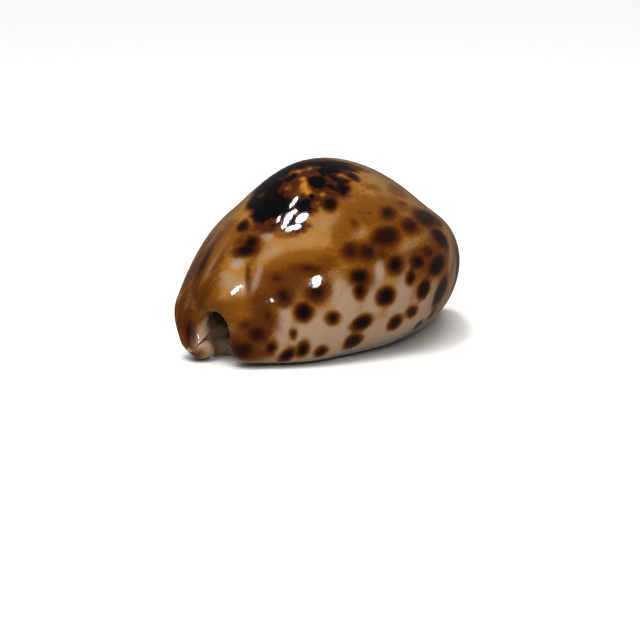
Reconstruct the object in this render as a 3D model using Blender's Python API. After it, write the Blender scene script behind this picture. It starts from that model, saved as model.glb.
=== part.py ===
# Cowrie shell: one hollow, rolled shell with a toothed slit below and a notch at each end.
# X runs from the back end (below zero) to the front end, -Y is the outer lip's side, Z is up.
# The tables are in millimetres, and the mesh is scaled to metres when it is made.
import math

import bpy
import numpy as np

MM = 0.001

# Overall size
LENGTH = 54.0
HEIGHT = 27.5
LIP_SIDE_WIDTH = 21.0
INNER_SIDE_WIDTH = 14.4
WIDEST_LEVEL = 14.8

# Slit, lips and wall
SLIT_Y = -2.6
SLIT_HALF_WIDTH = 1.25
LIP_THICKNESS = 4.0
LIP_ROLL_RADIUS = 2.6
CROWN_THICKNESS = 1.8
BACK_LOBE_THICKNESS = 4.7
FRONT_LOBE_THICKNESS = 3.6
SLIT_BEND = 2.0
SLIT_BEND_PLACE = 0.14
SLIT_BEND_REACH = 0.10

# Notched rims at the two ends
BACK_RIM = {"y": 2.3, "half_width": 5.9, "top": 11.4, "lip_foot": 2.3, "inner_foot": 0.1, "splay": 1.03}
FRONT_RIM = {"y": -1.8, "half_width": 5.4, "top": 11.0, "lip_foot": 1.6, "inner_foot": 1.6, "splay": 0.93}
BACK_ARCH_THICKNESS = 6.6
FRONT_ARCH_THICKNESS = 3.2

# How the body swells between its rims: place of the widest point, then powers behind and ahead of it
SWELL_EASE = 0.2
WIDTH_SWELL = {"peak": 0.44, "back": (1.75, 1.02), "front": (1.75, 1.08)}
HEIGHT_SWELL = {"peak": 0.47, "back": (1.65, 1.02), "front": (1.7, 1.40)}

# Rounded corners of the wall, where a rim meets a lip: share of the length, and shares of the girth
CORNER_LENGTH = 0.08
LIP_CORNER_GIRTH = 0.09
INNER_CORNER_GIRTH = 0.15

# Teeth along both lips
TOOTH_HEIGHT = 0.38
STEPS_PER_TOOTH = 4

# Mesh steps along the shell and around it
FINE_STEPS = 144
COARSE_STRIDE = 4
END_CROWDING = 0.5
LIP_ROWS = (1.0, 0.988, 0.965, 0.935, 0.90, 0.865, 0.825, 0.78)
WALL_ROW_LIMIT = 0.72
WALL_ROWS = 25

# Depth that is worn flat where the shell stands
CONTACT_DEPTH = 0.26

# Enamel
ENAMEL_COLOR = (0.46, 0.27, 0.11, 1.0)
ENAMEL_ROUGHNESS = 0.15


def clear_scene():
    for item in list(bpy.data.objects):
        bpy.data.objects.remove(item, do_unlink=True)


def ease(value):
    """Smooth rise from 0 to 1."""
    value = np.clip(value, 0.0, 1.0)
    return value * value * (3.0 - 2.0 * value)


def spline(knots, points, at):
    """Natural cubic spline through the points."""
    count = len(knots)
    gap = np.diff(knots)
    system = np.eye(count)
    target = np.zeros((count, points.shape[1]))
    for i in range(1, count - 1):
        system[i, i - 1] = gap[i - 1]
        system[i, i] = 2.0 * (gap[i - 1] + gap[i])
        system[i, i + 1] = gap[i]
        slope_after = (points[i + 1] - points[i]) / gap[i]
        slope_before = (points[i] - points[i - 1]) / gap[i - 1]
        target[i] = 6.0 * (slope_after - slope_before)
    bend = np.linalg.solve(system, target)
    i = np.clip(np.searchsorted(knots, at) - 1, 0, count - 2)
    wide = gap[i][:, None]
    after = (at - knots[i])[:, None]
    before = (knots[i + 1] - at)[:, None]
    curve = (bend[i] * before**3 + bend[i + 1] * after**3) / (6.0 * wide)
    curve += (points[i] / wide - bend[i] * wide / 6.0) * before
    curve += (points[i + 1] / wide - bend[i + 1] * wide / 6.0) * after
    return curve


def arc(points, crown, at):
    """Section curve: -1 is the lip side's inner edge, 0 the crown, 1 the other inner edge."""
    points = np.array(points, dtype=float)
    steps = np.linalg.norm(np.diff(points, axis=0), axis=1)
    run = np.concatenate([[0.0], np.cumsum(steps)])
    behind = run / run[crown] - 1.0
    ahead = (run - run[crown]) / (run[-1] - run[crown])
    knots = np.where(run <= run[crown], behind, ahead)
    return spline(knots, points, at.ravel()).reshape(at.shape + (2,))


def swell(place, peak, back, front):
    """Share of the full girth at each place from 0 to 1 along the shell."""
    behind = place < peak
    t = np.where(behind, (place - peak) / peak, (place - peak) / (1.0 - peak))
    first = np.where(behind, back[0], front[0])
    second = np.where(behind, back[1], front[1])
    low = SWELL_EASE**first
    fall = (t * t + SWELL_EASE**2) ** (first / 2.0) - low
    full = (1.0 + SWELL_EASE**2) ** (first / 2.0) - low
    return np.clip(1.0 - fall / full, 0.0, 1.0) ** (1.0 / second)


def side_points(width, start):
    """One side of the middle section, from the base to beside the crown."""
    wall = width - 1.3
    top = HEIGHT - CROWN_THICKNESS / 2.0
    rise = top - WIDEST_LEVEL
    reach = wall - start
    half = LIP_THICKNESS / 2.0
    return [
        (start + 0.36 * reach, half + 0.35),
        (start + 0.62 * reach, half + 0.135 * WIDEST_LEVEL),
        (start + 0.83 * reach, 0.9 * half + 0.34 * WIDEST_LEVEL),
        (start + 0.955 * reach, 0.4 * half + 0.63 * WIDEST_LEVEL),
        (wall, WIDEST_LEVEL),
        (0.945 * wall - 0.55, WIDEST_LEVEL + 0.30 * rise),
        (0.80 * wall - 0.70, WIDEST_LEVEL + 0.51 * rise - 0.42),
        (0.58 * wall - 0.55, WIDEST_LEVEL + 0.735 * rise - 0.55),
        (0.32 * wall - 0.20, WIDEST_LEVEL + 0.915 * rise - 0.28),
    ]


def middle_arc(at):
    """Middle section: rolled lip, base, flank, crown, flank, base, rolled inner lip."""
    roll = LIP_ROLL_RADIUS
    level = LIP_THICKNESS / 2.0 + roll
    offset = SLIT_HALF_WIDTH + LIP_THICKNESS / 2.0 + roll
    lip_centre = SLIT_Y - offset
    inner_centre = SLIT_Y + offset
    points = []
    for degrees in (70, 27, -15, -52, -90):
        turn = math.radians(degrees)
        points.append((lip_centre + roll * math.cos(turn), level + roll * math.sin(turn)))
    for across, up in side_points(LIP_SIDE_WIDTH, -lip_centre):
        points.append((-across, up))
    crown = len(points)
    points.append((0.0, HEIGHT - CROWN_THICKNESS / 2.0))
    points.extend(reversed(side_points(INNER_SIDE_WIDTH, inner_centre)))
    for degrees in (-90, -52, -15, 20):
        turn = math.radians(degrees)
        points.append((inner_centre - roll * math.cos(turn), level + roll * math.sin(turn)))
    points.append((inner_centre - 0.82 * roll, level + 3.4))
    points.append((inner_centre - 0.45 * roll, level + 5.6))
    return arc(points, crown, at)


def rim_arc(rim, lobe_thickness, arch_thickness, at):
    """End rim: an arch that is open below, around the notch."""
    half = rim["half_width"] - lobe_thickness / 2.0
    top = rim["top"] - arch_thickness / 2.0
    shape = ((0.93, 0.0), (1.0, 0.28), (0.98, 0.56), (0.77, 0.82), (0.40, 0.965))
    lip_foot = rim["lip_foot"]
    inner_foot = rim["inner_foot"]
    points = []
    for across, up in shape:
        points.append((rim["y"] - across * half, lip_foot + up * (top - lip_foot)))
    points.append((rim["y"], top))
    for across, up in shape[:0:-1]:
        points.append((rim["y"] + across * half, inner_foot + up * (top - inner_foot)))
    points.append((rim["y"] + rim["splay"] * half, inner_foot))
    return arc(points, len(shape), at)


def middle_sheet(along, around):
    """Middle surface of the wall, one row for each step along the shell."""
    place = along - END_CROWDING * np.sin(2.0 * math.pi * along) / (2.0 * math.pi)
    place = place[:, None]
    corner = np.clip(1.0 - np.minimum(place, 1.0 - place) / CORNER_LENGTH, 0.0, 1.0)
    cut = np.where(around < 0.0, LIP_CORNER_GIRTH, INNER_CORNER_GIRTH)[None]
    around = around[None] * (1.0 - cut * (1.0 - np.sqrt(1.0 - corner**2)))
    back = rim_arc(BACK_RIM, BACK_LOBE_THICKNESS, BACK_ARCH_THICKNESS, around)
    front = rim_arc(FRONT_RIM, FRONT_LOBE_THICKNESS, FRONT_ARCH_THICKNESS, around)
    body = middle_arc(around)
    wide = swell(place, **WIDTH_SWELL)
    tall = swell(place, **HEIGHT_SWELL)
    crown = 1.0 - ease((np.abs(around) - 0.05) / 0.6)
    base = ease((np.abs(around) - 0.45) / 0.35)
    line = back * (1.0 - place[..., None]) + front * place[..., None]
    bend = np.exp(-(((place - SLIT_BEND_PLACE) / SLIT_BEND_REACH) ** 2))
    bend = SLIT_BEND * bend * (1.0 - np.exp(-((place / 0.05) ** 2)))
    bend = bend * base * (1.0 - ease((np.abs(around) - 0.8) / 0.15))
    flat = (1.0 - base) * wide + base * np.sqrt(wide)
    upward = crown * tall + (1.0 - crown) * flat
    sheet = np.zeros(around.shape + (3,))
    sheet[..., 0] = (place - 0.5) * LENGTH
    sheet[..., 1] = line[..., 0] + (body[..., 0] - line[..., 0]) * wide - bend
    sheet[..., 2] = line[..., 1] + (body[..., 1] - line[..., 1]) * upward
    return sheet, place, around


def wall_thickness(place, around):
    """Full wall thickness, before its edges are rounded. The wall is thick at the notches."""
    lip = BACK_LOBE_THICKNESS + (FRONT_LOBE_THICKNESS - BACK_LOBE_THICKNESS) * place
    arch = BACK_ARCH_THICKNESS + (FRONT_ARCH_THICKNESS - BACK_ARCH_THICKNESS) * place
    crown = arch + (CROWN_THICKNESS - arch) * swell(place, **HEIGHT_SWELL)
    spread = ease((np.abs(around) - 0.2) / 0.45)
    return crown + (lip - crown) * spread


def edge_distance(sheet, axis):
    """Distance from each point to the nearer of the two edges, along one grid direction."""
    steps = np.linalg.norm(np.diff(sheet, axis=axis), axis=-1)
    start = np.zeros_like(steps.take([0], axis))
    run = np.concatenate([start, np.cumsum(steps, axis)], axis)
    return np.minimum(run, run.take([-1], axis) - run)


def offset_surfaces(sheet, thickness):
    """Outer and inner surface of the wall, which meet in a rounded edge."""
    along = np.gradient(sheet, axis=0)
    across = np.gradient(sheet, axis=1)
    normal = np.cross(along, across)
    normal /= np.linalg.norm(normal, axis=-1, keepdims=True)
    length = np.linalg.norm(across, axis=-1)
    turning = np.gradient(across / length[..., None], axis=1)
    curl = np.clip(-np.sum(turning * normal, axis=-1) / length, 0.0, None)
    half = thickness / 2.0
    first = edge_distance(sheet, 0)
    second = edge_distance(sheet, 1)
    nearest = first * second / (first**3 + second**3 + 1e-9) ** (1.0 / 3.0)
    rounding = np.sqrt(1.0 - (1.0 - np.clip(nearest / half, 0.0, 1.0)) ** 2)
    outward = half * rounding
    inward = half / (1.0 + (1.2 * half * curl) ** 4) ** 0.25 * rounding
    return sheet + normal * outward[..., None], sheet - normal * inward[..., None], normal


def tooth_relief(steps, around):
    """Height of the teeth at each point of the outer surface."""
    count = np.arange(steps + 1)
    wave = 0.5 + 0.5 * np.cos(2.0 * math.pi * count / STEPS_PER_TOOTH)
    share = count / steps
    wave = wave * ease((share - 0.07) / 0.06) * ease((0.94 - share) / 0.06)
    depth = np.abs(around)
    window = ease((depth - 0.85) / 0.05) * ease((0.99 - depth) / 0.03)
    return TOOTH_HEIGHT * wave[:, None] * window[None]


def strip(first, second):
    """Faces between two rows; where one row has more points, it is fanned to the other."""
    faces = []
    if len(first) == len(second):
        for i in range(len(first) - 1):
            faces.append((first[i], first[i + 1], second[i + 1], second[i]))
        return faces
    swap = len(first) < len(second)
    fine, coarse = (second, first) if swap else (first, second)
    stride = (len(fine) - 1) // (len(coarse) - 1)
    middle = stride // 2
    for i in range(len(coarse) - 1):
        start = i * stride
        fan = [(coarse[i], fine[start + k], fine[start + k + 1]) for k in range(middle)]
        fan.append((coarse[i], fine[start + middle], coarse[i + 1]))
        for k in range(middle, stride):
            fan.append((coarse[i + 1], fine[start + k], fine[start + k + 1]))
        faces.extend(face[::-1] if swap else face for face in fan)
    return faces


def rim_strip(border, inside):
    """Triangles beside an inner edge, cut so that no corner of the wall folds onto itself."""
    faces = []
    steps = len(border) - 1
    for i in range(steps):
        a, b, c, d = border[i], border[i + 1], inside[i], inside[i + 1]
        faces.extend([(a, b, d), (a, d, c)] if 2 * i < steps else [(a, b, c), (b, d, c)])
    return faces


def shell_mesh():
    """Points and faces of the closed wall, in millimetres."""
    wall = np.linspace(-WALL_ROW_LIMIT, WALL_ROW_LIMIT, WALL_ROWS)
    lip = np.array(LIP_ROWS)
    around = np.concatenate([-lip, wall, lip[::-1]])
    along = np.linspace(0.0, 1.0, FINE_STEPS + 1)
    sheet, place, girth = middle_sheet(along, around)
    outer, inner, normal = offset_surfaces(sheet, wall_thickness(place, girth))
    outer = outer + normal * tooth_relief(FINE_STEPS, around)[..., None]
    points = []
    outer_rows = []
    inner_rows = []
    last = len(around) - 1
    for j in range(last + 1):
        fine = j < len(lip) or j > last - len(lip)
        stride = 1 if fine else COARSE_STRIDE
        row = []
        for i in range(0, FINE_STEPS + 1, stride):
            row.append(len(points))
            points.append(outer[i, j])
        outer_rows.append(row)
        if j in (0, last):
            inner_rows.append(row)
            continue
        under = [row[0]]
        for i in range(COARSE_STRIDE, FINE_STEPS, COARSE_STRIDE):
            under.append(len(points))
            points.append(inner[i, j])
        under.append(row[-1])
        inner_rows.append(under)
    faces = []
    for j in range(last):
        if 0 < j < last - 1:
            faces.extend(strip(outer_rows[j], outer_rows[j + 1]))
        faces.extend(face[::-1] for face in strip(inner_rows[j], inner_rows[j + 1]))
    faces.extend(rim_strip(outer_rows[0], outer_rows[1]))
    faces.extend(face[::-1] for face in rim_strip(outer_rows[last], outer_rows[last - 1]))
    points = np.array(points)
    points[:, 2] = np.clip(points[:, 2] - points[:, 2].min() - CONTACT_DEPTH, 0.0, None)
    return points, faces


def enamel_material():
    material = bpy.data.materials.new("enamel")
    material.use_nodes = True
    surface = material.node_tree.nodes["Principled BSDF"]
    surface.inputs["Base Color"].default_value = ENAMEL_COLOR
    surface.inputs["Roughness"].default_value = ENAMEL_ROUGHNESS
    surface.inputs["Metallic"].default_value = 0.0
    return material


def make_shell():
    points, faces = shell_mesh()
    centre = (points.min(axis=0) + points.max(axis=0)) / 2.0
    points[:, 0] -= centre[0]
    points[:, 1] -= centre[1]
    mesh = bpy.data.meshes.new("shell")
    mesh.from_pydata((points * MM).tolist(), [], faces)
    mesh.materials.append(enamel_material())
    mesh.validate()
    shell = bpy.data.objects.new("shell", mesh)
    bpy.context.scene.collection.objects.link(shell)
    return shell


clear_scene()
make_shell()
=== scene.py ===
"""A glossy spotted cowrie shell that lies on its base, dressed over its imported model."""
import logging
import math
from dataclasses import dataclass, field
from enum import Enum

import bpy
import numpy as np
from mathutils import Matrix, Vector
from mathutils.bvhtree import BVHTree
from mathutils.interpolate import poly_3d_calc


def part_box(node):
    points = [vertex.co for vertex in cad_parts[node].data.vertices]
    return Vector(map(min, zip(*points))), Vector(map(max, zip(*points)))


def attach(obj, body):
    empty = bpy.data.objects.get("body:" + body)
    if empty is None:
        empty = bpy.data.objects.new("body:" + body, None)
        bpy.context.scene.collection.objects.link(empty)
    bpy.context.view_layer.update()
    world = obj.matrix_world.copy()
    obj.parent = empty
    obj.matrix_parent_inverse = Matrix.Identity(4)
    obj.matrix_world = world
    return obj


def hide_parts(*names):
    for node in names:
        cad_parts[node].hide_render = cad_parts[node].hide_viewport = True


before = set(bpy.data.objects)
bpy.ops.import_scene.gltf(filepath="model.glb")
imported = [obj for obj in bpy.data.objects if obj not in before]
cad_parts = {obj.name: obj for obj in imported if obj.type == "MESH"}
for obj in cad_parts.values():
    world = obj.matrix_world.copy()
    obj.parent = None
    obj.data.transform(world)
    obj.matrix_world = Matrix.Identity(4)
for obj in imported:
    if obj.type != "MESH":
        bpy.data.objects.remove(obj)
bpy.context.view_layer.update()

MM = 0.001
PHOTO_WIDTH = 640.0
PHOTO_HEIGHT = 620.0
SENSOR_WIDTH = 36.0
LOG = logging.getLogger("cowrie")


def ease(value: np.ndarray) -> np.ndarray:
    """Gives a smooth rise from 0 to 1.

    Args:
        value: Numbers of any size.

    Returns:
        The same numbers, cut to 0 to 1 and smoothed.
    """
    value = np.clip(value, 0.0, 1.0)
    return value * value * (3.0 - 2.0 * value)


def linear(code: str) -> tuple[float, float, float, float]:
    """Turns a hex sRGB colour into linear light.

    Args:
        code: Six hex digits.

    Returns:
        Red, green, blue and alpha.
    """
    parts = [int(code[i : i + 2], 16) / 255.0 for i in (0, 2, 4)]
    light = [p / 12.92 if p <= 0.04045 else ((p + 0.055) / 1.055) ** 2.4 for p in parts]
    return (light[0], light[1], light[2], 1.0)


@dataclass(frozen=True)
class Rim:
    """One notched end of the shell, in millimetres."""

    y: float
    half_width: float
    top: float
    lip_foot: float
    inner_foot: float
    lobe: float
    arch: float
    splay: float


@dataclass(frozen=True)
class Swell:
    """How the girth grows from the rims to its widest place."""

    peak: float
    back: tuple[float, float]
    front: tuple[float, float]
    soft: float = 0.2

    def share(self, place: np.ndarray) -> np.ndarray:
        """Gives the share of the full girth.

        Args:
            place: Places from 0 to 1 along the shell.

        Returns:
            Shares from 0 to 1.
        """
        behind = place < self.peak
        t = np.where(behind, (place - self.peak) / self.peak, (place - self.peak) / (1.0 - self.peak))
        first = np.where(behind, self.back[0], self.front[0])
        second = np.where(behind, self.back[1], self.front[1])
        low = self.soft**first
        fall = (t * t + self.soft**2) ** (first / 2.0) - low
        full = (1.0 + self.soft**2) ** (first / 2.0) - low
        return np.clip(1.0 - fall / full, 0.0, 1.0) ** (1.0 / second)


# Lower side of the middle section, as shares of the reach from the lip's roll to the wall, of half the lip's
# thickness and of the height of the widest place, and a rise in millimetres
LOWER_SIDE = (
    (0.36, 1.0, 0.0, 0.35),
    (0.62, 1.0, 0.135, 0.0),
    (0.83, 0.9, 0.34, 0.0),
    (0.955, 0.4, 0.63, 0.0),
)

# Upper side, as shares of the half width and of the rise to the crown, each less some millimetres
UPPER_SIDE = (
    (0.945, 0.55, 0.30, 0.0),
    (0.80, 0.70, 0.51, 0.42),
    (0.58, 0.55, 0.735, 0.55),
    (0.32, 0.20, 0.915, 0.28),
)

# An end rim's arch from its foot to beside its top, as shares of its half width and height
RIM_ARCH = ((0.93, 0.0), (1.0, 0.28), (0.98, 0.56), (0.77, 0.82), (0.40, 0.965))


@dataclass(frozen=True)
class ShellForm:
    """The rolled wall of the shell, in millimetres. Places run from 0 to 1 and girths from -1 to 1."""

    # Reach to each side of the crown's line, and the height at which it is widest
    length: float = 54.0
    height: float = 27.5
    lip_side: float = 21.0
    inner_side: float = 14.4
    widest: float = 14.8
    # The slit, the thickness of the wall at its lips and crown, and how the lips roll in
    slit_y: float = -2.6
    slit_half: float = 1.25
    lip: float = 4.0
    roll: float = 2.6
    crown: float = 1.8
    # At the back notch: the outer lip's bend, the inner lip's retreat, and the cut corners
    bend: float = 2.0
    bend_place: float = 0.14
    bend_reach: float = 0.10
    retreat: float = 0.20
    retreat_place: float = 0.10
    corner_length: float = 0.08
    lip_corner: float = 0.09
    inner_corner: float = 0.13
    # Teeth along both lips, how deep the base is worn flat, and how far colour wraps round the end rims
    tooth_height: float = 0.38
    teeth: int = 36
    contact: float = 0.26
    colour_wrap: float = 1.2
    # How much closer the rows lie at the ends and at the wall's edges, and half the wall's thickness beside
    # its widest place
    end_crowding: float = 0.5
    edge_crowding: float = 0.11
    side_half: float = 1.3
    back: Rim = Rim(2.3, 5.9, 11.4, 2.3, 0.1, 4.7, 6.6, 1.03)
    front: Rim = Rim(-1.8, 5.4, 11.0, 1.6, 1.6, 3.6, 3.2, 0.93)
    width_swell: Swell = Swell(0.44, (1.75, 1.02), (1.75, 1.08))
    height_swell: Swell = Swell(0.47, (1.65, 1.02), (1.7, 1.40))
    steps: int = 300
    rows: int = 151

    @staticmethod
    def spline(knots: np.ndarray, points: np.ndarray, at: np.ndarray) -> np.ndarray:
        """Runs a natural cubic spline through points.

        Args:
            knots: Rising knot values.
            points: One point for each knot.
            at: Where the curve is wanted.

        Returns:
            Points on the curve.
        """
        count = len(knots)
        gap = np.diff(knots)
        system = np.eye(count)
        target = np.zeros((count, points.shape[1]))
        for i in range(1, count - 1):
            system[i, i - 1 : i + 2] = (gap[i - 1], 2.0 * (gap[i - 1] + gap[i]), gap[i])
            ahead = (points[i + 1] - points[i]) / gap[i]
            target[i] = 6.0 * (ahead - (points[i] - points[i - 1]) / gap[i - 1])
        bend = np.linalg.solve(system, target)
        i = np.clip(np.searchsorted(knots, at) - 1, 0, count - 2)
        wide = gap[i][:, None]
        after = (at - knots[i])[:, None]
        before = (knots[i + 1] - at)[:, None]
        curve = (bend[i] * before**3 + bend[i + 1] * after**3) / (6.0 * wide)
        curve += (points[i] / wide - bend[i] * wide / 6.0) * before
        return curve + (points[i + 1] / wide - bend[i + 1] * wide / 6.0) * after

    def arc(self, points: list[tuple[float, float]], crown: int, at: np.ndarray) -> np.ndarray:
        """Follows one section from the lip's inner edge over the crown to the other edge.

        Args:
            points: Section points as across and up.
            crown: Index of the crown's point.
            at: Girth values from -1 to 1.

        Returns:
            Section points, in the shape of at.
        """
        row = np.array(points, dtype=float)
        run = np.concatenate([[0.0], np.cumsum(np.linalg.norm(np.diff(row, axis=0), axis=1))])
        ahead = (run - run[crown]) / (run[-1] - run[crown])
        knots = np.where(run <= run[crown], run / run[crown] - 1.0, ahead)
        return self.spline(knots, row, at.ravel()).reshape(at.shape + (2,))

    def side(self, width: float, start: float) -> list[tuple[float, float]]:
        """Gives one side of the middle section, from the base to beside the crown.

        Args:
            width: Half width on this side.
            start: Distance of the lip's roll from the middle.

        Returns:
            Points as across and up.
        """
        wall = width - self.side_half
        rise = self.height - self.crown / 2.0 - self.widest
        reach = wall - start
        half = self.lip / 2.0
        points = [(start + a * reach, b * half + up * self.widest + more) for a, b, up, more in LOWER_SIDE]
        points.append((wall, self.widest))
        points += [(a * wall - less, self.widest + up * rise - drop) for a, less, up, drop in UPPER_SIDE]
        return points

    def middle(self, at: np.ndarray) -> np.ndarray:
        """Gives the widest section, with both lips rolled in.

        Args:
            at: Girth values from -1 to 1.

        Returns:
            Section points.
        """
        level = self.lip / 2.0 + self.roll
        offset = self.slit_half + self.lip / 2.0 + self.roll
        lip_centre = self.slit_y - offset
        inner_centre = self.slit_y + offset
        points = []
        for turn in np.radians((70, 27, -15, -52, -90)):
            points.append((lip_centre + self.roll * math.cos(turn), level + self.roll * math.sin(turn)))
        points += [(-across, up) for across, up in self.side(self.lip_side, -lip_centre)]
        crown = len(points)
        points.append((0.0, self.height - self.crown / 2.0))
        points += reversed(self.side(self.inner_side, inner_centre))
        for turn in np.radians((-90, -52, -15, 20)):
            points.append((inner_centre - self.roll * math.cos(turn), level + self.roll * math.sin(turn)))
        points.append((inner_centre - 0.82 * self.roll, level + 3.4))
        points.append((inner_centre - 0.45 * self.roll, level + 5.6))
        return self.arc(points, crown, at)

    def rim(self, rim: Rim, at: np.ndarray) -> np.ndarray:
        """Gives an end rim: an arch round the notch, open below.

        Args:
            rim: The end's sizes.
            at: Girth values from -1 to 1.

        Returns:
            Section points.
        """
        half = rim.half_width - rim.lobe / 2.0
        top = rim.top - rim.arch / 2.0
        lip, inner = rim.lip_foot, rim.inner_foot
        points = [(rim.y - a * half, lip + b * (top - lip)) for a, b in RIM_ARCH]
        points.append((rim.y, top))
        points += [(rim.y + a * half, inner + b * (top - inner)) for a, b in RIM_ARCH[:0:-1]]
        points.append((rim.y + rim.splay * half, inner))
        return self.arc(points, len(RIM_ARCH), at)

    def sheet(self) -> tuple[np.ndarray, np.ndarray, np.ndarray]:
        """Lays out the middle surface of the wall.

        Returns:
            Points, places along the shell, and girth values.
        """
        along = np.linspace(0.0, 1.0, self.steps + 1)
        place = (along - self.end_crowding * np.sin(2.0 * math.pi * along) / (2.0 * math.pi))[:, None]
        row = np.linspace(-1.0, 1.0, self.rows)
        row = row + self.edge_crowding * np.sin(math.pi * row)
        # The wall's corners are cut round, and the inner lip draws back behind the back notch
        corner = np.clip(1.0 - np.minimum(place, 1.0 - place) / self.corner_length, 0.0, 1.0)
        cut = np.where(row < 0.0, self.lip_corner, self.inner_corner)[None]
        depth = place / self.retreat_place
        retreat = self.retreat * depth**2 * np.exp(1.0 - depth**2) * (row > 0.0)[None]
        around = row[None] * (1.0 - cut * (1.0 - np.sqrt(1.0 - corner**2)) - retreat)
        back = self.rim(self.back, around)
        front = self.rim(self.front, around)
        body = self.middle(around)
        wide = self.width_swell.share(place)
        tall = self.height_swell.share(place)
        # Crown and base swell each in their own way, and the sides blend the two
        crown = 1.0 - ease((np.abs(around) - 0.05) / 0.6)
        base = ease((np.abs(around) - 0.45) / 0.35)
        line = back * (1.0 - place[..., None]) + front * place[..., None]
        # The outer lip bends away near the back notch, all but its very edge
        bend = self.bend * np.exp(-(((place - self.bend_place) / self.bend_reach) ** 2))
        bend = bend * (1.0 - np.exp(-((place / 0.05) ** 2)))
        bend = bend * base * (1.0 - ease((np.abs(around) - 0.8) / 0.15)) * (around < 0.0)
        flat = (1.0 - base) * wide + base * np.sqrt(wide)
        upward = crown * tall + (1.0 - crown) * flat
        sheet = np.zeros(around.shape + (3,))
        sheet[..., 0] = (place - 0.5) * self.length
        sheet[..., 1] = line[..., 0] + (body[..., 0] - line[..., 0]) * wide - bend
        sheet[..., 2] = line[..., 1] + (body[..., 1] - line[..., 1]) * upward
        return sheet, place, around

    def thickness(self, place: np.ndarray, around: np.ndarray) -> np.ndarray:
        """Gives the wall's thickness.

        Args:
            place: Places along the shell.
            around: Girth values.

        Returns:
            Full thickness, before the edges are rounded.
        """
        lip = self.back.lobe + (self.front.lobe - self.back.lobe) * place
        arch = self.back.arch + (self.front.arch - self.back.arch) * place
        crown = arch + (self.crown - arch) * self.height_swell.share(place)
        return crown + (lip - crown) * ease((np.abs(around) - 0.2) / 0.45)

    @staticmethod
    def edge_distance(sheet: np.ndarray, axis: int) -> np.ndarray:
        """Measures each point's distance from the nearer edge.

        Args:
            sheet: Grid of points.
            axis: Grid direction to measure along.

        Returns:
            Distances.
        """
        steps = np.linalg.norm(np.diff(sheet, axis=axis), axis=-1)
        run = np.concatenate([np.zeros_like(steps.take([0], axis)), np.cumsum(steps, axis)], axis)
        return np.minimum(run, run.take([-1], axis) - run)

    def relief(self, depth: np.ndarray) -> np.ndarray:
        """Gives the height of the teeth.

        Args:
            depth: Shares of the way from the crown to the wall's edge.

        Returns:
            Heights over the grid.
        """
        share = np.linspace(0.0, 1.0, self.steps + 1)[:, None]
        wave = 0.5 + 0.5 * np.cos(2.0 * math.pi * self.teeth * share)
        wave = wave * ease((share - 0.07) / 0.06) * ease((0.94 - share) / 0.06)
        return self.tooth_height * wave * ease((depth - 0.85) / 0.05) * ease((0.99 - depth) / 0.03)

    def surfaces(self) -> tuple[np.ndarray, np.ndarray, np.ndarray]:
        """Gives both faces of the wall.

        Returns:
            Outer points, inner points, and how far both are bare of colour.
        """
        sheet, place, around = self.sheet()
        along = np.gradient(sheet, axis=0)
        across = np.gradient(sheet, axis=1)
        normal = np.cross(along, across)
        normal /= np.linalg.norm(normal, axis=-1, keepdims=True)
        length = np.linalg.norm(across, axis=-1)
        turning = np.gradient(across / length[..., None], axis=1)
        curl = np.clip(-np.sum(turning * normal, axis=-1) / length, 0.0, None)
        # The wall thins to a round edge all along its rim, and inside tight curls
        half = self.thickness(place, around) / 2.0
        first = self.edge_distance(sheet, 0)
        second = self.edge_distance(sheet, 1)
        nearest = first * second / (first**3 + second**3 + 1e-9) ** (1.0 / 3.0)
        rounding = np.sqrt(1.0 - (1.0 - np.clip(nearest / half, 0.0, 1.0)) ** 2)
        inward = half / (1.0 + (1.2 * half * curl) ** 4) ** 0.25 * rounding
        share = np.where(around > 0.0, around / around[:, -1:], around / around[:, :1])
        outer = sheet + normal * (half * rounding + self.relief(share))[..., None]
        inner = sheet - normal * inward[..., None]
        # Colour ends where the base begins, and wraps a little way round the end rims
        wrap = self.colour_wrap * (1.0 - ease((around - 0.1) / 0.4))
        start = np.where(around > 0.0, 0.8, 0.86) + 0.09 * np.exp(-((place / 0.07) ** 2))
        base = ease((share - start) / 0.07)
        return outer, inner, np.stack([base, np.maximum(base, ease((first - wrap) / 0.8))])


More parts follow.
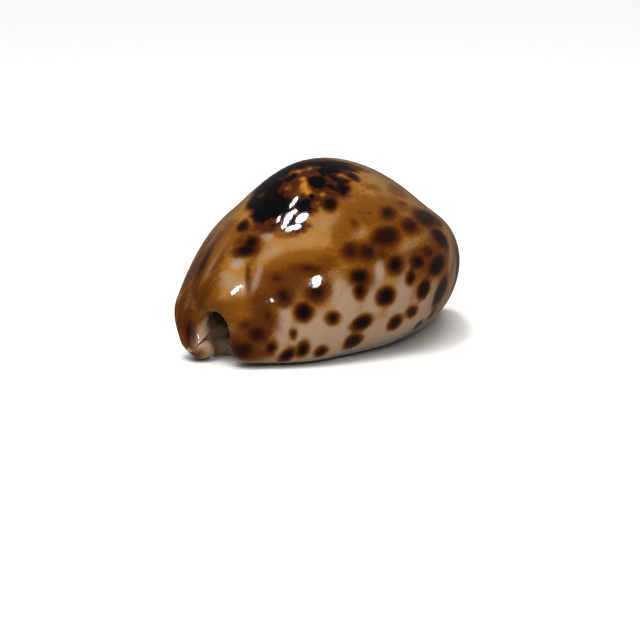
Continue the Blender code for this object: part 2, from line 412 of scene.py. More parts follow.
@dataclass
class ShellPiece:
    """The dressed shell: two grids shaped as the wall's faces and joined at its edges."""

    form: ShellForm
    low: Vector
    high: Vector
    name: str = "enamelled_shell"

    def fitted(self, outer: np.ndarray, inner: np.ndarray) -> tuple[np.ndarray, np.ndarray]:
        """Sets both faces on the floor, centred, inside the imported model's box.

        Args:
            outer: Outer points in millimetres.
            inner: Inner points in millimetres.

        Returns:
            The same points in metres.
        """
        ground = outer[..., 2].min() + self.form.contact
        first = outer.reshape(-1, 3).min(axis=0)
        last = outer.reshape(-1, 3).max(axis=0)
        middle = (first + last) / 2.0
        middle[2] = ground
        size = last - first
        size[2] -= self.form.contact
        shrink = np.minimum((np.array(self.high) - np.array(self.low)) / MM / size, 1.0)
        LOG.info("shell measures %s mm, fitted by %s", np.round(size, 3), np.round(shrink, 5))
        faces = []
        for points in (outer, inner):
            points = (points - middle) * shrink
            points[..., 2] = np.clip(points[..., 2], 0.0, None)
            faces.append(points * MM)
        return faces[0], faces[1]

    def face(self, points: np.ndarray, bare: np.ndarray) -> bpy.types.Object:
        """Adds a grid and shapes it as one face of the wall.

        Args:
            points: Grid of points in metres.
            bare: Grid of the bare share.

        Returns:
            The grid's object.
        """
        steps, rows = bare.shape
        bpy.ops.object.select_all(action="DESELECT")
        bpy.ops.mesh.primitive_grid_add(x_subdivisions=steps - 1, y_subdivisions=rows - 1, size=2.0)
        sheet = bpy.context.active_object
        flat = np.empty(len(sheet.data.vertices) * 3)
        sheet.data.vertices.foreach_get("co", flat)
        flat = flat.reshape(-1, 3)
        i = np.rint((flat[:, 0] + 1.0) / 2.0 * (steps - 1)).astype(int)
        j = np.rint((flat[:, 1] + 1.0) / 2.0 * (rows - 1)).astype(int)
        sheet.data.vertices.foreach_set("co", points[i, j].ravel())
        sheet.data.attributes.new("bare", "FLOAT", "POINT").data.foreach_set("value", bare[i, j])
        sheet.data.update()
        return sheet

    def build(self) -> bpy.types.Object:
        """Makes the closed shell.

        Returns:
            The shell's object.
        """
        outer, inner, bare = self.form.surfaces()
        outer, inner = self.fitted(outer, inner)
        inside = self.face(inner, bare[1])
        bpy.ops.object.mode_set(mode="EDIT")
        bpy.ops.mesh.select_all(action="SELECT")
        bpy.ops.mesh.flip_normals()
        bpy.ops.object.mode_set(mode="OBJECT")
        shell = self.face(outer, bare[0])
        inside.select_set(True)
        bpy.ops.object.join()
        bpy.ops.object.mode_set(mode="EDIT")
        bpy.ops.mesh.select_all(action="SELECT")
        bpy.ops.mesh.remove_doubles(threshold=1e-6)
        bpy.ops.object.mode_set(mode="OBJECT")
        bpy.ops.object.shade_smooth()
        shell.name = self.name
        shell.data.name = self.name
        LOG.info("%s: %d points, %d faces", self.name, len(shell.data.vertices), len(shell.data.polygons))
        return shell


@dataclass(frozen=True)
class PhotoView:
    """The camera, placed as the photo was taken. Pixels are of a 640 by 620 image."""

    azimuth: float = -58.5
    elevation: float = 10.26
    distance: float = 0.3135
    focal: float = 2071.2
    shift_x: float = 20.4
    shift_y: float = -30.2
    target: tuple[float, float, float] = (0.0, 0.0, 0.009)

    def axes(self) -> tuple[Vector, Vector, Vector, Vector]:
        """Gives the camera's place and directions.

        Returns:
            Position, forward, right and up.
        """
        turn, lift = math.radians(self.azimuth), math.radians(self.elevation)
        back = Vector((math.sin(turn) * math.cos(lift), -math.cos(turn) * math.cos(lift), math.sin(lift)))
        right = (-back).cross(Vector((0.0, 0.0, 1.0))).normalized()
        return Vector(self.target) + back * self.distance, -back, right, right.cross(-back)

    def ray(self, x: float, y: float) -> tuple[Vector, Vector]:
        """Gives the line of sight through a pixel.

        Args:
            x: Pixel from the left.
            y: Pixel from the top.

        Returns:
            Origin and unit direction.
        """
        origin, forward, right, up = self.axes()
        across = (x - PHOTO_WIDTH / 2.0 - self.shift_x) / self.focal
        rise = -(y - PHOTO_HEIGHT / 2.0 - self.shift_y) / self.focal
        return origin, (forward + right * across + up * rise).normalized()

    def make(self) -> bpy.types.Object:
        """Makes the camera and sets it as the scene's.

        Returns:
            The camera object.
        """
        data = bpy.data.cameras.new("camera")
        data.sensor_width = SENSOR_WIDTH
        data.lens = self.focal / PHOTO_WIDTH * SENSOR_WIDTH
        data.shift_x = -self.shift_x / PHOTO_WIDTH
        data.shift_y = self.shift_y / PHOTO_WIDTH
        data.clip_start = 0.01
        camera = bpy.data.objects.new("camera", data)
        position, forward, _, _ = self.axes()
        camera.location = position
        camera.rotation_euler = forward.to_track_quat("-Z", "Y").to_euler()
        bpy.context.scene.collection.objects.link(camera)
        bpy.context.scene.camera = camera
        return camera


class Layer(Enum):
    """What is painted on the shell's points, and the names of the attributes that hold it."""

    FOOT = "foot"
    GOLD = "gold"
    DEEP = "deep"
    CREAM = "cream"
    HAZE = "haze"
    SPOT = "spot"
    RUST = "rust"
    BLACK = "black"
    AMBER = "amber"


@dataclass(frozen=True)
class Mark:
    """One mark of colour. Its place and half sizes are pixels of the photo's view."""

    x: float
    y: float
    long: float
    wide: float
    tilt: float = 0.0
    weight: float = 1.0


# Golden network of the upper flank
GOLDS = (
    Mark(365, 207, 30, 13, -10),
    Mark(350, 225, 14, 16, 0, 0.9),
    Mark(385, 222, 26, 12),
    Mark(372, 187, 11, 4, -10, 0.9),
    Mark(396, 191, 11, 7, -35, 0.9),
    Mark(392, 203, 18, 9, -30, 0.9),
    Mark(350, 252, 16, 14),
    Mark(375, 247, 24, 14),
    Mark(341, 238, 9, 20, 0, 0.8),
    Mark(410, 226, 18, 10, -20),
    Mark(425, 217, 20, 9, -35),
    Mark(436, 240, 16, 12, -50),
    Mark(430, 255, 20, 14),
    Mark(395, 262, 18, 13),
    Mark(362, 275, 20, 14),
    Mark(330, 258, 18, 10, 0, 0.9),
    Mark(300, 261, 38, 10, 8),
    Mark(272, 270, 20, 10, 25, 0.9),
    Mark(262, 300, 18, 32, 0, 0.9),
    Mark(440, 262, 18, 18),
    Mark(284, 234, 12, 4, 0, 0.9),
    Mark(245, 236, 17, 15, 0, 0.9),
    Mark(225, 312, 32, 12),
    Mark(242, 310, 16, 14, 0, 0.9),
    Mark(206, 304, 22, 10, 60, 0.9),
    Mark(200, 286, 34, 12, 65, 0.9),
    Mark(222, 248, 22, 6, 60, 0.5),
    Mark(190, 330, 26, 16, 90),
    Mark(458, 262, 34, 6, 90, 0.9),
    Mark(418, 285, 20, 14, 70, 0.7),
    Mark(355, 188, 14, 6, -20, 0.4),
    Mark(252, 262, 14, 5, 70, 0.6),
    Mark(212, 262, 40, 12, 65, 0.9),
    Mark(228, 232, 18, 8, 55, 0.6),
    Mark(236, 302, 18, 8, 0, 0.7),
)

# Deep brown ground of the near flank, the snout and the left edge
DEEPS = (
    Mark(285, 283, 26, 19),
    Mark(304, 271, 30, 10, 5),
    Mark(318, 286, 15, 18),
    Mark(283, 297, 14, 11),
    Mark(262, 305, 15, 20),
    Mark(264, 321, 17, 17),
    Mark(250, 330, 18, 14),
    Mark(240, 346, 17, 18),
    Mark(252, 353, 20, 12),
    Mark(262, 340, 12, 12, 0, 0.8),
    Mark(240, 322, 12, 6, 0, 0.5),
    Mark(204, 260, 30, 5, 66),
    Mark(203, 292, 24, 6, 68, 0.9),
    Mark(188, 330, 24, 9, 95),
    Mark(193, 342, 18, 7, 105),
    Mark(248, 278, 18, 3.5, 93, 0.9),
    Mark(354, 224, 7, 9, 0, 0.55),
    Mark(362, 210, 12, 6, 0, 0.35),
    Mark(400, 206, 12, 4, -20, 0.45),
    Mark(386, 238, 20, 14, 20, 0.9),
    Mark(365, 252, 24, 12, 0, 0.9),
    Mark(412, 226, 14, 10, -10, 0.9),
    Mark(428, 218, 16, 8, -30, 0.9),
    Mark(438, 240, 14, 8, -50, 0.9),
    Mark(434, 262, 18, 14, 45, 0.9),
    Mark(420, 260, 14, 12, 0, 0.9),
    Mark(458, 262, 26, 4, 90, 0.9),
    Mark(395, 264, 13, 13, 0, 0.9),
    Mark(362, 280, 15, 14, 0, 0.9),
    Mark(441, 292, 20, 8, 68, 0.8),
    Mark(390, 214, 12, 8, 0, 0.7),
    Mark(245, 226, 8, 8, 0, 0.6),
    Mark(246, 247, 19, 12, 15),
    Mark(377, 213, 8, 7, 0, 0.4),
    Mark(435, 207, 10, 4, -35, 0.5),
    Mark(197, 280, 34, 5, 68),
    Mark(214, 242, 18, 4, 58, 0.7),
    Mark(212, 285, 14, 5, 60, 0.7),
    Mark(226, 226, 12, 4, 50, 0.5),
    Mark(180, 322, 16, 4, 85, 0.9),
    Mark(374, 214, 36, 18, -10, 0.4),
    Mark(350, 230, 16, 16, 0, 0.35),
    Mark(415, 240, 34, 22, -40, 0.35),
    Mark(225, 308, 26, 9, 0, 0.4),
    Mark(193, 270, 32, 5, 66),
    Mark(183, 300, 20, 5, 72),
    Mark(207, 243, 18, 4, 58, 0.8),
    Mark(188, 338, 18, 6, 100),
    Mark(187, 316, 18, 5, 72),
    Mark(201, 301, 18, 5, 60, 0.9),
    Mark(218, 262, 26, 3.5, 62, 0.6),
    Mark(197, 350, 12, 7, 60),
    Mark(234, 358, 12, 8),
    Mark(326, 262, 14, 8, 0, 0.6),
    Mark(296, 288, 10, 10, 0, 0.8),
)

# Pale ground between the spots
CREAMS = (
    Mark(352, 343, 52, 17, 12),
    Mark(310, 338, 24, 17),
    Mark(284, 325, 24, 8, 84),
    Mark(347, 305, 24, 12, 60),
    Mark(336, 293, 17, 6, 75, 0.8),
    Mark(373, 305, 28, 10, 72),
    Mark(400, 302, 30, 11, 70),
    Mark(395, 333, 36, 14, 25),
    Mark(425, 308, 28, 12, 62),
    Mark(452, 285, 22, 4, 74, 0.9),
    Mark(345, 322, 28, 15),
    Mark(319, 325, 14, 10),
    Mark(375, 335, 32, 14, 20),
    Mark(436, 302, 20, 6, 66),
    Mark(380, 271, 15, 6, 80, 0.9),
    Mark(451, 256, 24, 3, 88, 0.6),
    Mark(412, 244, 7, 5, 0, 0.5),
    Mark(403, 249, 10, 6, 20, 0.35),
    Mark(360, 234, 10, 5, 0, 0.4),
    Mark(428, 234, 8, 5, -30, 0.4),
    Mark(408, 264, 11, 3, 80, 0.5),
    Mark(360, 356, 36, 7, 12),
    Mark(312, 360, 42, 6, 2),
    Mark(272, 252, 18, 8, 30, 0.45),
    Mark(240, 287, 10, 9, 0, 0.65),
    Mark(231, 283, 15, 9, 0, 0.5),
    Mark(262, 237, 8, 4, 20, 0.5),
    Mark(228, 277, 10, 6, 0, 0.5),
    Mark(238, 262, 9, 6, 50, 0.8),
    Mark(257, 279, 18, 4, 73, 0.65),
    Mark(271, 230, 13, 4.5, 72, 0.85),
    Mark(225, 243, 13, 5, 60, 0.3),
    Mark(263, 352, 5, 4, 0, 0.5),
    Mark(385, 195, 10, 4, -20, 0.35),
    Mark(411, 196, 14, 4, -35, 0.4),
    Mark(446, 228, 12, 3, -50, 0.3),
    Mark(345, 285, 8, 8, 0, 0.6),
    Mark(214, 262, 24, 4, 62, 0.35),
    Mark(195, 283, 20, 2, 64, 0.5),
    Mark(226, 297, 12, 6, 0, 0.3),
    Mark(300, 240, 26, 12, 10, 0.3),
    Mark(325, 222, 18, 10, 20, 0.35),
    Mark(375, 178, 22, 6, -28, 0.35),
    Mark(352, 200, 10, 5, 0, 0.3),
    Mark(276, 250, 12, 10, 0, 0.35),
)

# Blurred brown spots that lie deep in the enamel
HAZES = (
    Mark(388, 213, 9, 8, 0, 0.9),
    Mark(386, 236, 16, 11, 15),
    Mark(376, 242, 10, 7, 30, 0.8),
    Mark(410, 225, 9.5, 8),
    Mark(426, 217, 13, 8.5, -20),
    Mark(437, 222, 8, 5, -30, 0.7),
    Mark(367, 252, 12, 9.5),
    Mark(351, 251, 10, 9),
    Mark(382, 254, 8, 7, 0, 0.7),
    Mark(354, 223, 5, 6, 0, 0.5),
    Mark(371, 213, 5, 6, 0, 0.3),
    Mark(428, 252, 8, 7, 0, 0.9),
    Mark(283, 296, 9, 9),
    Mark(316, 292, 11, 10),
    Mark(310, 269, 18, 6, 0, 0.7),
    Mark(277, 278, 10, 8, 0, 0.6),
    Mark(268, 316, 6, 9, 0, 0.8),
    Mark(257, 334, 10, 9),
    Mark(246, 325, 9, 6, 0, 0.7),
    Mark(242, 351, 13, 10, 0, 0.9),
    Mark(232, 355, 7, 7, 0, 0.8),
    Mark(191, 336, 20, 6, 98),
    Mark(204, 262, 22, 3.5, 66, 0.8),
    Mark(402, 203, 8, 4, -20, 0.4),
    Mark(360, 212, 6, 5, 0, 0.3),
)

# Round spots with a dark middle and a brown edge
SPOTS = (
    Mark(304, 312, 10, 10),
    Mark(333, 318, 8, 7.5, 0, 0.9),
    Mark(293, 334, 4.5, 6, 0, 0.8),
    Mark(362, 323, 12, 7, 30),
    Mark(353, 342, 11, 6, 35),
    Mark(386, 296, 11, 9.5, 60),
    Mark(359, 277, 12, 9, 0, 0.95),
    Mark(360, 291, 10, 7.5, 80, 0.9),
    Mark(395, 265, 8.5, 9),
    Mark(418, 262, 8, 8, 0, 0.95),
    Mark(438, 265, 13, 8, 60),
    Mark(441, 238, 13, 6, -52),
    Mark(458, 264, 17, 4, 88),
    Mark(411, 278, 9, 6, 80, 0.9),
    Mark(424, 289, 11, 6, 70),
    Mark(441, 292, 16, 5.5, 68),
    Mark(395, 323, 10, 6, 50, 0.95),
    Mark(412, 312, 8, 6, 50, 0.8),
    Mark(418, 326, 8, 4, 45, 0.9),
    Mark(403, 337, 8, 3.5, 30, 0.9),
    Mark(432, 314, 8, 3.5, 55, 0.9),
    Mark(303, 350, 9, 6, 60),
    Mark(321, 352, 8, 5, 35, 0.95),
    Mark(287, 356, 10, 5.5, 35),
    Mark(271, 348, 8, 6, 60, 0.95),
    Mark(330, 204, 9, 8.5),
    Mark(352, 176, 10, 4, -32, 0.95),
    Mark(243, 226, 9, 6.5, 45, 0.9),
    Mark(246, 250, 13, 6.5, 12),
    Mark(251, 243, 9.5, 7.5, 40),
    Mark(335, 359, 6, 2.5, 10, 0.9),
    Mark(348, 356, 5, 2.5, 15, 0.9),
)

# Red-brown ground of the crest
RUSTS = (
    Mark(318, 162, 30, 6),
    Mark(350, 166, 20, 4, -12, 0.8),
    Mark(262, 196, 22, 12, 55, 0.8),
    Mark(326, 184, 24, 14, -18),
    Mark(290, 186, 16, 11, 30, 0.9),
    Mark(301, 176, 20, 7, 10, 0.9),
    Mark(266, 226, 16, 9, 0, 0.8),
    Mark(312, 199, 16, 10, 0, 0.9),
    Mark(247, 245, 15, 11, 15, 0.5),
    Mark(292, 226, 18, 9, 0, 0.8),
)

# Black crest with red-brown edges
BLACKS = (
    Mark(266, 206, 21, 13, 55),
    Mark(262, 217, 10, 7),
    Mark(281, 208, 14, 14),
    Mark(292, 224, 15, 9),
    Mark(304, 207, 12, 8, -10),
    Mark(273, 188, 17, 6, 42),
    Mark(290, 178, 11, 4, 30, 0.9),
    Mark(281, 173, 18, 5, 33, 0.95),
    Mark(300, 166, 12, 4, 15),
    Mark(330, 170, 20, 4),
    Mark(345, 167, 10, 4, -18),
    Mark(318, 182, 11, 9, -20, 0.95),
    Mark(342, 189, 9, 8.5),
    Mark(338, 180, 9, 4, -30, 0.9),
    Mark(327, 187, 9, 3, 0, 0.85),
    Mark(318, 163, 26, 4, 0, 0.8),
    Mark(300, 195, 5, 3, 0, 0.7),
    Mark(312, 197, 8, 3, 0, 0.8),
    Mark(283, 192, 5, 6, 0, 0.6),
    Mark(352, 170, 10, 3, -15, 0.7),
    Mark(262, 188, 12, 5, 52),
    Mark(254, 201, 10, 6, 60),
    Mark(275, 177, 14, 4, 38),
    Mark(292, 166, 14, 4, 25),
    Mark(340, 163, 16, 3, -5, 0.95),
    Mark(308, 201, 10, 4, 10, 0.9),
    Mark(334, 189, 10, 5, -20, 0.9),
    Mark(311, 187, 5, 5, 0, 0.8),
    Mark(326, 181, 6, 4, 0, 0.9),
    Mark(297, 202, 8, 6, 50, 0.9),
    Mark(288, 184, 4, 5, 0, 0.7),
    Mark(345, 181, 5, 5, 0, 0.85),
    Mark(298, 183, 3, 5, 20, 0.6),
    Mark(276, 224, 10, 5, 40, 0.8),
    Mark(325, 175, 14, 3, -5, 0.8),
)

# Clear amber windows in the crest
AMBERS = (
    Mark(305, 186, 7, 7),
    Mark(296, 173, 9, 3, 28),
    Mark(312, 175, 9, 2, -8, 0.5),
    Mark(287, 187, 7, 3, 30, 0.7),
    Mark(309, 193, 6, 4, 0, 0.9),
    Mark(322, 194, 5, 4, 0, 0.6),
    Mark(303, 179, 5, 3, 0, 0.8),
    Mark(314, 203, 7, 3, 0, 0.7),
    Mark(334, 182, 5, 2, -10, 0.5),
    Mark(338, 175, 12, 1.8, 5, 0.6),
    Mark(293, 200, 4, 3, 0, 0.4),
    Mark(292, 191, 3, 4, 0, 0.5),
)


@dataclass
class Painter:
    """Paints the enamel's layers on the shell's points. Its sizes are in millimetres."""

    shell: bpy.types.Object
    view: PhotoView
    # What a point far from every mark gets, what a weightless mark loses, how deep a mark reaches, how
    # slanting a surface may be before marks stop stretching on it, and where hidden spots begin
    far: float = -9.0
    faded: float = 1.4
    reach_in: float = 4.0
    least_slope: float = 0.35
    lowest_spot: float = 3.2
    points: np.ndarray = field(init=False)
    normals: np.ndarray = field(init=False)
    painted: np.ndarray = field(init=False)
    surface: BVHTree = field(init=False)

    def __post_init__(self) -> None:
        """Builds the tree that lines of sight are tested against."""
        mesh = self.shell.data
        flat = np.empty(len(mesh.vertices) * 3)
        mesh.vertices.foreach_get("co", flat)
        self.points = flat.reshape(-1, 3) / MM
        flat = np.empty(len(mesh.vertices) * 3)
        mesh.vertices.foreach_get("normal", flat)
        self.normals = flat.reshape(-1, 3)
        bare = np.empty(len(mesh.vertices))
        mesh.attributes["bare"].data.foreach_get("value", bare)
        self.painted = 1.0 - bare
        corners = [tuple(face.vertices) for face in mesh.polygons]
        self.surface = BVHTree.FromPolygons([point.co for point in mesh.vertices], corners)

    def hit(self, x: float, y: float) -> tuple[Vector, Vector, Vector] | None:
        """Finds the surface under a pixel.

        Args:
            x: Pixel from the left.
            y: Pixel from the top.

        Returns:
            Point, smooth outward normal and line of sight, or None beside the shell.
        """
        origin, direction = self.view.ray(x, y)
        point, _, index, _ = self.surface.ray_cast(origin, direction)
        if point is None:
            return None
        mesh = self.shell.data
        corners = list(mesh.polygons[index].vertices)
        shares = poly_3d_calc([mesh.vertices[k].co for k in corners], point)
        normal = sum((Vector(self.normals[k]) * share for k, share in zip(corners, shares)), Vector())
        return point, normal.normalized(), direction

    def distance(self, mark: Mark) -> tuple[np.ndarray, float] | None:
        """Measures the shell's points from a mark.

        Args:
            mark: The mark.

        Returns:
            Distances as shares of the mark's size, and that size in millimetres.
        """
        found = self.hit(mark.x, mark.y)
        if found is None:
            LOG.warning("mark at %s, %s is beside the shell", mark.x, mark.y)
            return None
        point, normal, _ = found
        origin, forward, right, up = self.view.axes()
        scale = self.view.focal * MM / (point - origin).dot(forward)
        offset = self.points - np.array(point) / MM
        total = np.zeros(len(offset))
        size = 1.0
        for turn, pixels in ((mark.tilt, mark.long), (mark.tilt + 90.0, mark.wide)):
            seen = right * math.cos(math.radians(turn)) + up * math.sin(math.radians(turn))
            flat = seen - normal * seen.dot(normal)
            share = max(flat.length, self.least_slope)
            reach = pixels / scale / share
            total += (offset @ np.array(flat.normalized()) / reach) ** 2
            size *= reach
        total += (offset @ np.array(normal) / self.reach_in) ** 2
        return np.sqrt(total), math.sqrt(size)

    def hard(self, marks: tuple[Mark, ...]) -> np.ndarray:
        """Gives how far each point lies inside the nearest mark.

        Args:
            marks: Marks with an edge.

        Returns:
            Millimetres, above zero inside a mark.
        """
        value = np.full(len(self.points), self.far)
        for mark in marks:
            found = self.distance(mark)
            if found is not None:
                share, size = found
                value = np.maximum(value, (1.0 - share) * size - (1.0 - mark.weight) * self.faded)
        return value

    def soft(self, marks: tuple[Mark, ...]) -> np.ndarray:
        """Gives the strongest of the marks without an edge, each fading out around its size.

        Args:
            marks: Soft marks.

        Returns:
            Strength at each point.
        """
        value = np.zeros(len(self.points))
        for mark in marks:
            found = self.distance(mark)
            if found is not None:
                value = np.maximum(value, mark.weight * np.exp(-0.8 * found[0] ** 2.5))
        return value

    def hidden(self, count: int, apart: float, least: float, most: float, seed: int) -> np.ndarray:
        """Spreads spots over the flanks that the photo doesn't show.

        Args:
            count: How many places are tried.
            apart: Least distance between two spots, in millimetres.
            least: Smallest radius.
            most: Largest radius.
            seed: Seed of the draw.

        Returns:
            Millimetres, above zero inside a spot.
        """
        draw = np.random.default_rng(seed)
        _, forward, _, _ = self.view.axes()
        away = self.normals @ np.array(forward)
        chosen = np.flatnonzero((away > 0.03) & (self.points[:, 2] > self.lowest_spot) & (self.painted > 0.5))
        value = np.full(len(self.points), self.far)
        kept: list[np.ndarray] = []
        for pick in draw.choice(chosen, count, replace=False):
            centre = self.points[pick]
            if any(np.linalg.norm(centre - other) < apart for other in kept):
                continue
            kept.append(centre)
            radius = draw.uniform(least, most)
            value = np.maximum(value, radius - np.linalg.norm(self.points - centre, axis=1))
        LOG.info("%d spots on the hidden flanks", len(kept))
        return value

    def paint(self) -> None:
        """Stores every layer on the shell's mesh."""
        # The hidden flank is golden above and pale below, as the seen one is
        _, forward, _, _ = self.view.axes()
        unseen = ease((self.normals @ np.array(forward) + 0.05) / 0.2)
        height = self.points[:, 2]
        layers = {
            Layer.FOOT: height * MM,
            Layer.GOLD: np.maximum(self.soft(GOLDS), unseen * 0.45 * ease((height - 5.0) / 5.0)),
            Layer.DEEP: self.soft(DEEPS),
            Layer.CREAM: np.maximum(self.soft(CREAMS), unseen * 0.9 * ease((14.0 - height) / 8.0)),
            Layer.HAZE: np.maximum(self.hard(HAZES), self.hidden(900, 4.2, 1.0, 2.2, 5)),
            Layer.SPOT: np.maximum(self.hard(SPOTS), self.hidden(600, 5.2, 1.1, 1.9, 11)),
            Layer.RUST: self.soft(RUSTS),
            Layer.BLACK: self.hard(BLACKS),
            Layer.AMBER: self.soft(AMBERS),
        }
        for layer, values in layers.items():
            attribute = self.shell.data.attributes.new(layer.value, "FLOAT", "POINT")
            attribute.data.foreach_set("value", values.astype(np.float32))
            LOG.info("layer %s from %.3f to %.3f", layer.value, values.min(), values.max())


class Pigment(Enum):
    """Colours of the shell, as hex sRGB."""

    TAN = "835a27"
    GOLD = "683c08"
    DEEP = "451f03"
    CREAM = "89725b"
    HAZE = "1c0802"
    RING = "361502"
    CORE = "0c0301"
    FRINGE = "3a1605"
    BLACK = "030101"
    AMBER = "9c6219"
    INNER = "967c62"


@dataclass(frozen=True)
class Grain:
    """One noise that breaks up the colours: lumps per millimetre of the shell, octaves and their share."""

    name: str
    per_mm: float
    detail: float
    rough: float


@dataclass(frozen=True)
class Edge:
    """How a layer sets in: not at all at one of its values, fully at another."""

    layer: Layer
    none: float
    full: float
    most: float = 1.0


@dataclass(frozen=True)
class Coat:
    """One pigment laid over those before it, wherever one of its edges has set in."""

    pigment: Pigment
    edges: tuple[Edge, ...]


# Lumps of about 0.3, 0.9, 3.6 and 9 mm. The finest are drawn coarser than the real specks of pigment, which
# are too small for the picture
GRAINS = (
    Grain("speck", 3.0, 2.0, 0.6),
    Grain("grain", 1.1, 3.0, 0.6),
    Grain("cloud", 0.28, 3.0, 0.55),
    Grain("wide", 0.11, 2.0, 0.5),
)

# Mixtures of the grains: ragged edges, freckled ones, and freckled patches
MIXTURES = {
    "ragged": (("grain", 0.5), ("cloud", 0.9)),
    "freckled": (("speck", 0.75), ("grain", 0.4), ("cloud", 0.6)),
    "patchy": (("speck", 0.75), ("grain", 0.4), ("cloud", 0.6), ("wide", 0.8)),
}

# How each layer is broken up, and how much
BREAKS = {
    Layer.FOOT: ("wide", -0.006),
    Layer.GOLD: ("patchy", 1.0),
    Layer.DEEP: ("freckled", 0.7),
    Layer.CREAM: ("freckled", 0.45),
    Layer.HAZE: ("freckled", 1.1),
    Layer.SPOT: ("ragged", 0.7),
    Layer.RUST: ("ragged", 0.9),
    Layer.BLACK: ("ragged", 2.2),
    Layer.AMBER: ("ragged", 1.2),
}

# The coats from the ground up. The third is the golden edge of every dark mark
COATS = (
    Coat(Pigment.GOLD, (Edge(Layer.GOLD, 0.05, 0.65),)),
    Coat(Pigment.CREAM, (Edge(Layer.CREAM, 0.1, 0.85), Edge(Layer.FOOT, 0.0022, 0.0004))),
    Coat(
        Pigment.GOLD,
        (Edge(Layer.HAZE, -1.2, 0.0, 0.9), Edge(Layer.SPOT, -0.75, 0.1), Edge(Layer.BLACK, -1.0, -0.1, 0.8)),
    ),
    Coat(Pigment.DEEP, (Edge(Layer.DEEP, 0.05, 0.95, 0.95),)),
    Coat(Pigment.FRINGE, (Edge(Layer.RUST, 0.1, 0.7),)),
    Coat(Pigment.AMBER, (Edge(Layer.AMBER, 0.3, 1.0),)),
    Coat(Pigment.DEEP, (Edge(Layer.HAZE, -0.8, 0.4),)),
    Coat(Pigment.HAZE, (Edge(Layer.HAZE, -0.3, 1.1),)),
    Coat(Pigment.RING, (Edge(Layer.SPOT, -0.35, 0.45),)),
    Coat(Pigment.CORE, (Edge(Layer.SPOT, 0.05, 0.95),)),
    Coat(Pigment.FRINGE, (Edge(Layer.BLACK, -0.5, 0.2),)),
    Coat(Pigment.BLACK, (Edge(Layer.BLACK, 0.0, 0.6),)),
)


@dataclass(frozen=True)
class EnamelFinish:
    """Natural shell enamel.

    A glassy clear top gives the eye small, hard highlights, and the coats under it give soft-edged, deep
    colours. A faint wave keeps the highlights from being perfect.
    """

    ground: Pigment = Pigment.TAN
    inside: Pigment = Pigment.INNER
    coats: tuple[Coat, ...] = COATS
    roughness: float = 0.045
    index: float = 1.4
    wave: float = 0.02
    wave_height: float = 0.001


@dataclass
class NodeSheet:
    """One material and its nodes."""

    name: str
    material: bpy.types.Material = field(init=False)

    def __post_init__(self) -> None:
        """Starts an empty node material."""
        self.material = bpy.data.materials.new(self.name)
        self.material.use_nodes = True
        self.material.node_tree.nodes.clear()

    def add(
        self, kind: str, inputs: dict[int | str, object], output: int | str = 0, **settings: object
    ) -> bpy.types.NodeSocket | None:
        """Adds a node with its settings and links.

        Args:
            kind: Node type.
            inputs: Values or sockets by input name or number.
            output: Name or number of the output that is wanted.
            settings: Node properties.

        Returns:
            The output's socket, or None where the node has none.
        """
        tree = self.material.node_tree
        node = tree.nodes.new(kind)
        for name, value in settings.items():
            setattr(node, name, value)
        for key, value in inputs.items():
            if isinstance(value, bpy.types.NodeSocket):
                tree.links.new(value, node.inputs[key])
            else:
                node.inputs[key].default_value = value
        return node.outputs[output] if node.outputs else None


def enamel(finish: EnamelFinish) -> bpy.types.Material:
    """Builds the shell's glossy enamel.

    Args:
        finish: Coats and gloss.

    Returns:
        The material.
    """
    sheet = NodeSheet("enamel")
    where = sheet.add("ShaderNodeTexCoord", {}, "Object")
    noise = {}
    for grain in GRAINS:
        inputs = {"Vector": where, "Scale": grain.per_mm / MM}
        inputs |= {"Detail": grain.detail, "Roughness": grain.rough}
        lumps = sheet.add("ShaderNodeTexNoise", inputs, "Fac")
        noise[grain.name] = sheet.add("ShaderNodeMath", {0: lumps, 1: 0.5}, operation="SUBTRACT")
    for name, parts in MIXTURES.items():
        total: object = 0.0
        for part, share in parts:
            inputs = {0: noise[part], 1: share, 2: total}
            total = sheet.add("ShaderNodeMath", inputs, operation="MULTIPLY_ADD")
        noise[name] = total
    depth = {}
    for layer, (name, share) in BREAKS.items():
        painted = sheet.add("ShaderNodeAttribute", {}, "Fac", attribute_name=layer.value)
        inputs = {0: noise[name], 1: share, 2: painted}
        depth[layer] = sheet.add("ShaderNodeMath", inputs, operation="MULTIPLY_ADD")
    colour: object = linear(finish.ground.value)
    for coat in finish.coats:
        cover: object = 0.0
        for edge in coat.edges:
            inputs = {"Value": depth[edge.layer], "From Min": edge.none}
            inputs |= {"From Max": edge.full, "To Max": edge.most}
            shown = sheet.add("ShaderNodeMapRange", inputs, interpolation_type="SMOOTHSTEP")
            cover = sheet.add("ShaderNodeMath", {0: cover, 1: shown}, operation="MAXIMUM")
        over = linear(coat.pigment.value)
        colour = sheet.add("ShaderNodeMix", {0: cover, 6: colour, 7: over}, 2, data_type="RGBA")
    bare = sheet.add("ShaderNodeAttribute", {}, "Fac", attribute_name="bare")
    inside = linear(finish.inside.value)
    colour = sheet.add("ShaderNodeMix", {0: bare, 6: colour, 7: inside}, 2, data_type="RGBA")
    inputs = {"Height": noise["cloud"], "Strength": finish.wave, "Distance": finish.wave_height}
    wave = sheet.add("ShaderNodeBump", inputs)
    inputs = {"Base Color": colour, "Roughness": finish.roughness, "IOR": finish.index, "Normal": wave}
    surface = sheet.add("ShaderNodeBsdfPrincipled", inputs)
    sheet.add("ShaderNodeOutputMaterial", {"Surface": surface})
    return sheet.material


@dataclass(frozen=True)
class Glint:
    """A small lamp, given by its mirror image in the shell, in pixels of the photo's view."""

    name: str
    x: float
    y: float
    long: float
    wide: float
    tilt: float
    glare: float = 60.0


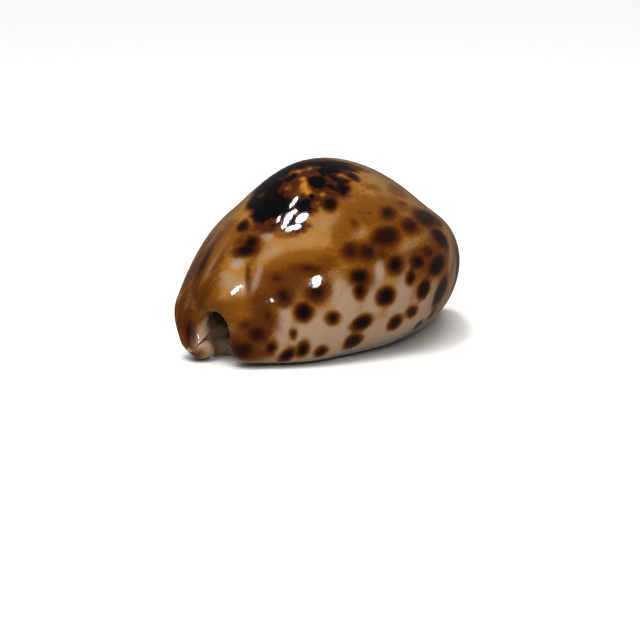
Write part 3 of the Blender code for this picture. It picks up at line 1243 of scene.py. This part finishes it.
@dataclass
class Studio:
    """Floor, world and lamps."""

    painter: Painter
    floor_tone: str = "f4f3f1"
    floor_size: float = 80.0
    floor_roughness: float = 0.8
    world_tone: str = "e8eaee"
    world_power: float = 0.12
    sun_power: float = 3.6
    sun_spread: float = 50.0
    sun_tilt: tuple[float, float, float] = (7.0, -24.0, 0.0)
    lamp_distance: float = 0.45
    probe: float = 4.0
    glints: tuple[Glint, ...] = (
        Glint("lamp_left", 287, 220, 9.0, 2.7, 64),
        Glint("lamp_low", 293, 227.5, 8.0, 2.1, 16),
        Glint("lamp_right", 301.5, 218, 7.0, 3.5, 33),
        Glint("lamp_top", 292.5, 212.5, 4.5, 1.8, 32),
        Glint("lamp_streak", 294, 202, 7.5, 1.5, 54),
        Glint("lamp_speck", 279, 219, 3.8, 1.1, 66),
        Glint("lamp_side", 316, 281, 6.0, 4.6, 60),
        Glint("lamp_snout", 233, 292, 3.6, 1.8, 60),
        Glint("lamp_flank", 271.5, 300.5, 2.4, 1.1, -50),
    )

    def floor(self) -> bpy.types.Object:
        """Makes the plain floor.

        Returns:
            The floor object.
        """
        bpy.ops.object.select_all(action="DESELECT")
        bpy.ops.mesh.primitive_plane_add(size=self.floor_size, location=(0.0, 0.0, 0.0))
        floor = bpy.context.active_object
        floor.name = "floor"
        sheet = NodeSheet("floor")
        # A pale matt board: even and dull, so that it takes a soft shadow and shows no mirror image
        inputs = {"Base Color": linear(self.floor_tone), "Roughness": self.floor_roughness}
        surface = sheet.add("ShaderNodeBsdfPrincipled", inputs)
        sheet.add("ShaderNodeOutputMaterial", {"Surface": surface})
        floor.data.materials.append(sheet.material)
        floor.visible_glossy = False
        return floor

    def room(self) -> None:
        """Sets the even light of the room, and the soft light from above."""
        world = bpy.data.worlds.new("room")
        world.use_nodes = True
        back = world.node_tree.nodes["Background"]
        back.inputs["Color"].default_value = linear(self.world_tone)
        back.inputs["Strength"].default_value = self.world_power
        bpy.context.scene.world = world
        data = bpy.data.lights.new("soft_light", "SUN")
        data.energy = self.sun_power
        data.angle = math.radians(self.sun_spread)
        sun = bpy.data.objects.new("soft_light", data)
        sun.rotation_euler = [math.radians(turn) for turn in self.sun_tilt]
        sun.visible_glossy = False
        bpy.context.scene.collection.objects.link(sun)

    def mirrored(self, x: float, y: float) -> tuple[np.ndarray, np.ndarray] | None:
        """Follows a line of sight to the shell and mirrors it there.

        Args:
            x: Pixel from the left.
            y: Pixel from the top.

        Returns:
            Point on the shell and direction away from it, or None beside the shell.
        """
        found = self.painter.hit(x, y)
        if found is None:
            return None
        point, normal, sight = found
        return np.array(point), np.array(sight - normal * 2.0 * sight.dot(normal))

    def light(self, glint: Glint) -> None:
        """Hangs one small lamp so that its mirror image has the glint's place and shape.

        Args:
            glint: The glint.
        """
        start = self.mirrored(glint.x, glint.y)
        if start is None:
            LOG.warning("%s misses the shell", glint.name)
            return
        point, toward = start
        place = point + toward * self.lamp_distance
        # How far the mirrored line moves in the lamp's plane for one pixel to the right and one down
        step = self.probe
        columns = []
        for right, down in ((step, 0.0), (0.0, step)):
            ends = []
            for side in (1.0, -1.0):
                found = self.mirrored(glint.x + side * right, glint.y + side * down)
                origin, direction = found if found else start
                ends.append(origin + direction * ((place - origin) @ toward) / (direction @ toward))
            columns.append((ends[0] - ends[1]) / (2.0 * step))
        turn = math.radians(glint.tilt)
        shape = np.array(
            [
                [glint.long * math.cos(turn), glint.wide * math.sin(turn)],
                [-glint.long * math.sin(turn), glint.wide * math.cos(turn)],
            ]
        )
        axes, sizes, _ = np.linalg.svd(np.stack(columns, axis=1) @ shape, full_matrices=False)
        first, second = axes[:, 0], np.cross(toward, axes[:, 0])
        data = bpy.data.lights.new(glint.name, "AREA")
        data.shape = "ELLIPSE"
        data.size = 2.0 * sizes[0]
        data.size_y = 2.0 * sizes[1]
        # Power for this glare: pi times the ellipse's area
        data.energy = glint.glare * math.pi * math.pi * sizes[0] * sizes[1]
        lamp = bpy.data.objects.new(glint.name, data)
        frame_axes = Matrix((first, second, toward)).transposed()
        lamp.visible_camera = False
        lamp.matrix_world = Matrix.Translation(Vector(place)) @ frame_axes.to_4x4()
        bpy.context.scene.collection.objects.link(lamp)
        LOG.info("%s at %s, %.3f by %.3f m", glint.name, np.round(place, 3), data.size, data.size_y)

    def build(self) -> None:
        """Makes the whole studio."""
        self.floor()
        self.room()
        for glint in self.glints:
            self.light(glint)
        bpy.context.scene.view_settings.view_transform = "Standard"


def main() -> None:
    """Builds the dressed shell, its studio and its camera."""
    logging.basicConfig(level=logging.INFO, format="%(name)s: %(message)s")
    low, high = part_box("shell")
    shell = ShellPiece(ShellForm(), Vector(low), Vector(high)).build()
    view = PhotoView()
    painter = Painter(shell, view)
    painter.paint()
    shell.data.materials.append(enamel(EnamelFinish()))
    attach(shell, "root")
    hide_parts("shell")
    Studio(painter).build()
    view.make()


if __name__ == "__main__":
    main()
